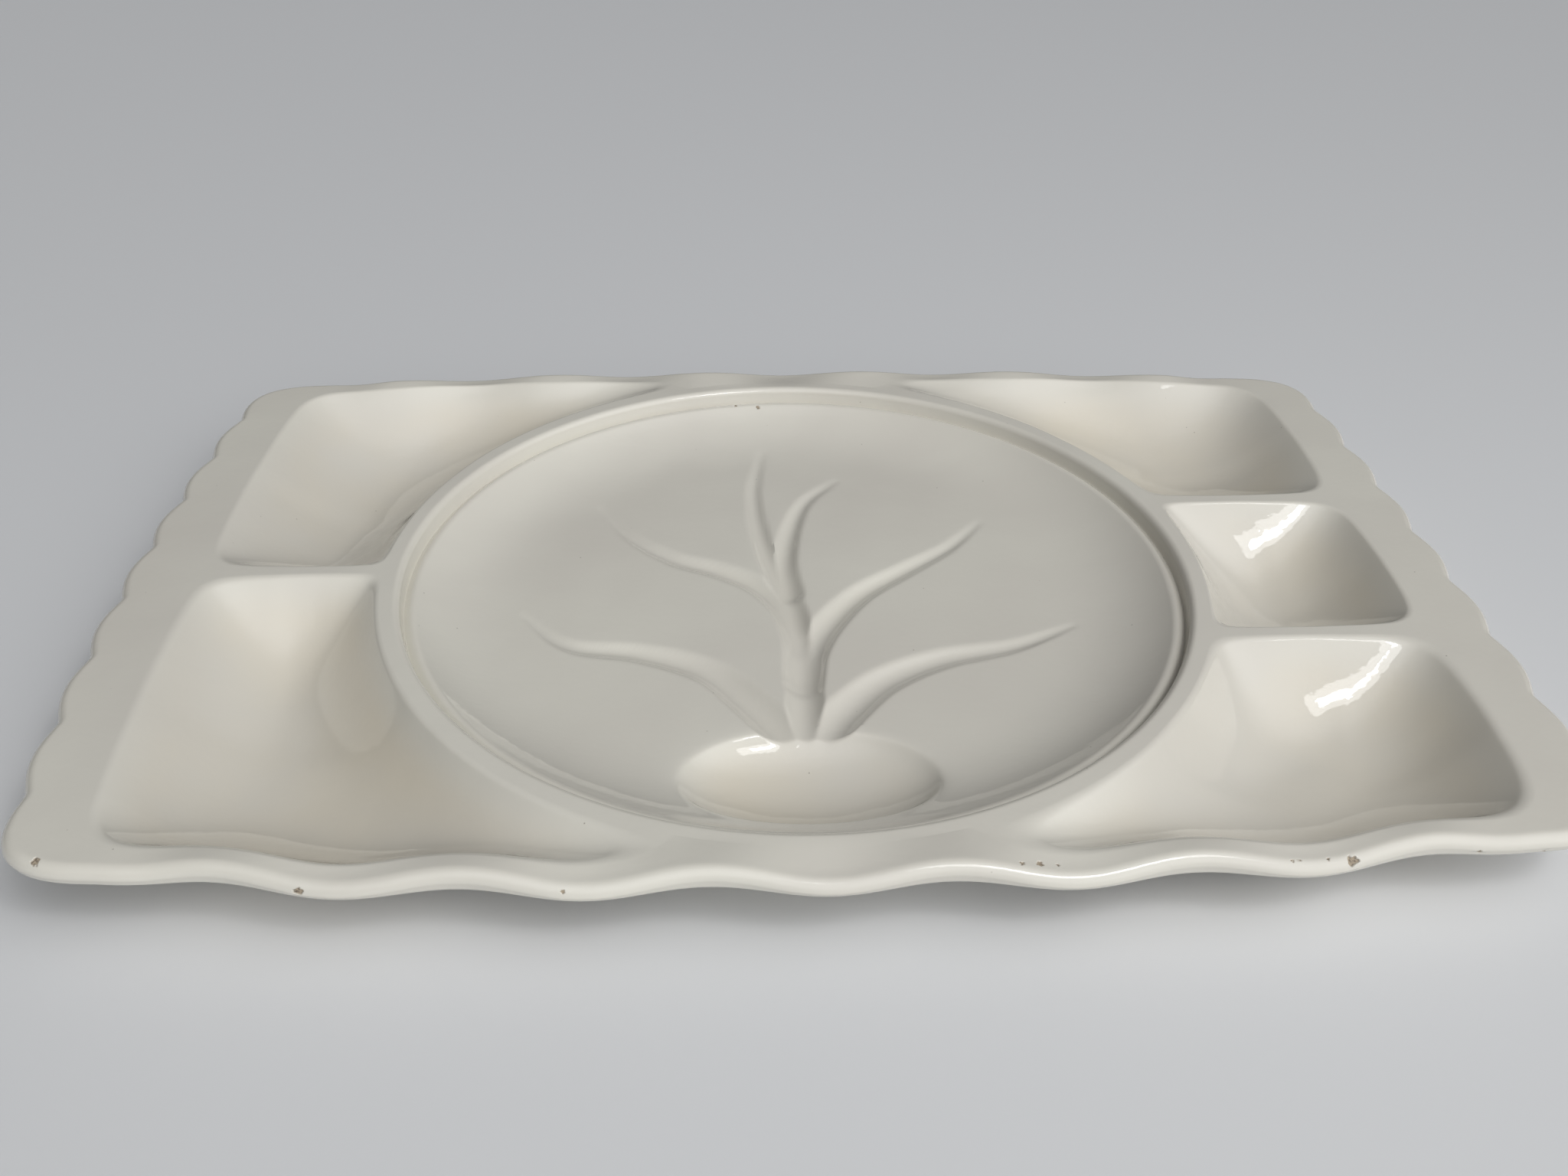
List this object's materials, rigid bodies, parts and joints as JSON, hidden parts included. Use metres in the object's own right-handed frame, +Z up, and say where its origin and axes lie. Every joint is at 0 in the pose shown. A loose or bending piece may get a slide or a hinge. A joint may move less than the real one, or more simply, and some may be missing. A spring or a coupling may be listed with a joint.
{
  "type": "compartmented carving dish",
  "caption": "Scalloped rectangular serving dish in glazed earthenware: a round stepped carving plate with drain grooves and a juice well, with bowl-shaped compartments around it.",
  "frame": {"origin": "middle of the dish in plan, on the surface that it stands on", "axes": "+X along the length with the three small compartments at +X, +Y towards the back, the juice well at -Y, +Z up"},
  "size_m": [0.5576, 0.3758, 0.0384],
  "materials": {
    "glazed_earthenware": "glossy warm white glaze"
  },
  "bodies": {
    "root": {"scalloped_rim": "glazed_earthenware", "carving_plate": "glazed_earthenware", "juice_well": "glazed_earthenware", "back_left_compartment": "glazed_earthenware", "front_left_compartment": "glazed_earthenware", "back_right_compartment": "glazed_earthenware", "middle_right_compartment": "glazed_earthenware", "front_right_compartment": "glazed_earthenware"}
  },
  "joints": []
}
